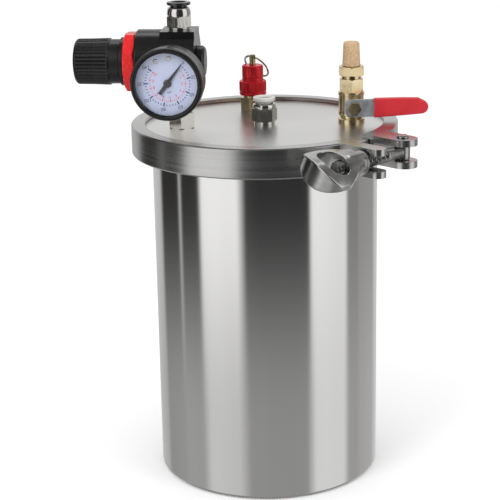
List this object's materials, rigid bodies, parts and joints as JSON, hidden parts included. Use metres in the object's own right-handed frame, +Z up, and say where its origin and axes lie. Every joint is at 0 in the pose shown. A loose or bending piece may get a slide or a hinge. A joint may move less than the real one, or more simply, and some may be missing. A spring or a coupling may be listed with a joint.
{
  "type": "resin pressure pot",
  "caption": "Small steel pressure pot with a bolted ring clamp, and a lid that carries a regulator with gauge, a push-in outlet, a relief valve and a lever ball valve.",
  "frame": {"origin": "centre of the tank's underside", "axes": "+Z up along the tank's axis; -Y towards the side the gauge faces; +X towards the valve lever"},
  "size_m": [0.2168, 0.2003, 0.2993],
  "materials": {
    "tank_steel": "brushed stainless, fine grain round the tank",
    "lid_steel": "satin stainless sheet",
    "clamp_steel": "brushed and polished stainless casting",
    "bright_steel": "polished casting",
    "pin_steel": "turned steel",
    "zinc_steel": "dull zinc plate",
    "spring_steel": "drawn spring wire",
    "nickel_plate": "nickel plate over brass",
    "brass": "turned brass",
    "sintered_bronze": "porous sintered bronze, matt",
    "black_body": "glossy black enamel",
    "black_knob": "satin black moulding",
    "red_nut": "glossy red moulding",
    "red_anodised": "red anodised turned aluminium",
    "red_vinyl": "dipped red vinyl",
    "gauge_black": "black enamel",
    "gauge_case": "grey enamel",
    "gauge_face": "white printed dial",
    "needle_black": "black enamel",
    "clear_lens": "clear moulded window",
    "collet_grey": "pale grey acetal",
    "collet_black": "black acetal",
    "seal_rubber": "black nitrile",
    "lid_seal": "pale silicone",
    "seat_plastic": "white PTFE"
  },
  "bodies": {
    "pot": {"tank_shell": "tank_steel", "tank_flange": "tank_steel", "lid_gasket": "lid_seal", "lid_plate": "lid_steel", "port_seals": "seal_rubber", "port_nuts": "brass", "hex_nipple": "nickel_plate", "regulator_body": "black_body", "diaphragm": "seal_rubber", "regulator_spring": "spring_steel", "regulator_bonnet": "black_body", "panel_nut": "red_nut", "knob_collar": "black_knob", "bottom_cap": "black_knob", "gauge_bezel": "gauge_black", "gauge_lens": "clear_lens", "gauge_case": "gauge_case", "gauge_dial": "gauge_face", "gauge_dial_screws": "zinc_steel", "bourdon_tube": "brass", "gauge_stem": "brass", "inlet_fitting_body": "nickel_plate", "inlet_tube_seal": "seal_rubber", "inlet_grab_ring": "spring_steel", "outlet_fitting_body": "nickel_plate", "outlet_tube_seal": "seal_rubber", "outlet_grab_ring": "spring_steel", "relief_body": "brass", "relief_cap": "red_anodised", "relief_spring": "spring_steel", "ball_valve_body": "brass", "valve_end_nut": "brass", "valve_seats": "seat_plastic", "silencer_base": "brass", "silencer_element": "sintered_bronze"},
    "clamp_front": {"clamp_front_half": "clamp_steel"},
    "clamp_back": {"clamp_back_half": "clamp_steel", "clamp_hinge_pin": "pin_steel", "swing_bolt_pin": "pin_steel"},
    "swing_bolt": {"swing_bolt": "pin_steel"},
    "thrust_washer": {"thrust_washer": "pin_steel"},
    "wing_nut": {"wing_nut": "bright_steel"},
    "spindle": {"adjusting_spindle": "brass"},
    "spring_nut": {"spring_nut": "brass"},
    "poppet": {"poppet_valve": "brass"},
    "knob": {"regulator_knob": "black_knob"},
    "needle": {"gauge_needle": "needle_black", "needle_shaft": "brass"},
    "inlet_collet": {"inlet_release_collet": "collet_black"},
    "outlet_collet": {"outlet_release_collet": "collet_grey"},
    "relief_stem": {"relief_stem": "brass", "relief_disc": "seal_rubber"},
    "pull_ring": {"relief_pull_ring": "spring_steel"},
    "lever": {"lever_plate": "zinc_steel", "lever_grip": "red_vinyl", "lever_washer": "zinc_steel", "lever_nut": "brass", "valve_stem": "brass", "valve_ball": "nickel_plate"}
  },
  "joints": [
    {"name": "clamp_back_spread", "type": "hinge", "parent": "pot", "child": "clamp_back", "pos_m": [-0.06364, 0.06364, 0.2165], "axis": [0, 0, 1], "range_deg": [0, 0.93]},
    {"name": "clamp_front_spread", "type": "hinge", "parent": "pot", "child": "clamp_front", "pos_m": [-0.06364, 0.06364, 0.2165], "axis": [0, 0, -1], "range_deg": [0, 0.93]},
    {"name": "bolt_swing", "type": "hinge", "parent": "clamp_back", "child": "swing_bolt", "pos_m": [0.08061, -0.05657, 0.2165], "axis": [0, 0, 1], "range_deg": [0, 100]},
    {"name": "nut_travel", "type": "slide", "parent": "swing_bolt", "child": "thrust_washer", "axis": [-0.7071, -0.7071, 0], "range_m": [0, 0.00625]},
    {"name": "nut_spin", "type": "hinge", "parent": "thrust_washer", "child": "wing_nut", "pos_m": [0.05091, -0.08627, 0.2165], "axis": [-0.7071, -0.7071, 0], "range_deg": [0, 1800]},
    {"name": "spindle_turn", "type": "hinge", "parent": "pot", "child": "spindle", "pos_m": [-0.0508, -0.006, 0.2631], "axis": [0.9962, -0.0872, 0], "range_deg": [0, 720]},
    {"name": "spring_nut_travel", "type": "slide", "parent": "pot", "child": "spring_nut", "axis": [0.9962, -0.0872, 0], "range_m": [0, 0.003], "deforming": ["regulator_spring"]},
    {"name": "poppet_travel", "type": "slide", "parent": "pot", "child": "poppet", "axis": [0.9962, -0.0872, 0], "range_m": [0, 0.0012]},
    {"name": "knob_pull", "type": "slide", "parent": "spindle", "child": "knob", "axis": [-0.9962, 0.0872, 0], "range_m": [0, 0.003]},
    {"name": "needle_turn", "type": "hinge", "parent": "pot", "child": "needle", "pos_m": [-0.05689, -0.05563, 0.2577], "axis": [0.1219, 0.9925, 0], "range_deg": [0, 270], "stiffness_Nm_per_rad": 0.00002},
    {"name": "inlet_collet_press", "type": "slide", "parent": "pot", "child": "inlet_collet", "axis": [0, 0, -1], "range_m": [0, 0.001], "stiffness_N_per_m": 300, "springref_m": -0.002},
    {"name": "outlet_collet_press", "type": "slide", "parent": "pot", "child": "outlet_collet", "axis": [0, 0, -1], "range_m": [0, 0.001], "stiffness_N_per_m": 300, "springref_m": -0.002},
    {"name": "relief_lift", "type": "slide", "parent": "pot", "child": "relief_stem", "axis": [0, 0, 1], "range_m": [0, 0.003], "stiffness_N_per_m": 600, "springref_m": -0.005, "deforming": ["relief_spring"]},
    {"name": "pull_ring_swing", "type": "hinge", "parent": "relief_stem", "child": "pull_ring", "pos_m": [-0.0072, 0.043, 0.2571], "axis": [0.7803, -0.6097, -0.1392], "range_deg": [0, 284]},
    {"name": "lever_turn", "type": "hinge", "parent": "pot", "child": "lever", "pos_m": [0.054, 0.004, 0.233], "axis": [0.0698, -0.9976, 0], "range_deg": [0, 90]}
  ],
  "couplings": [
    {"joint": "nut_spin", "follows": "nut_travel", "rad_per_m": 5026.5},
    {"joint": "clamp_back_spread", "follows": "nut_travel", "rad_per_m": 2.5635},
    {"joint": "clamp_front_spread", "follows": "nut_travel", "rad_per_m": 2.5635},
    {"joint": "spindle_turn", "follows": "spring_nut_travel", "rad_per_m": 4188.7},
    {"joint": "poppet_travel", "follows": "spring_nut_travel", "ratio": 0.398}
  ]
}
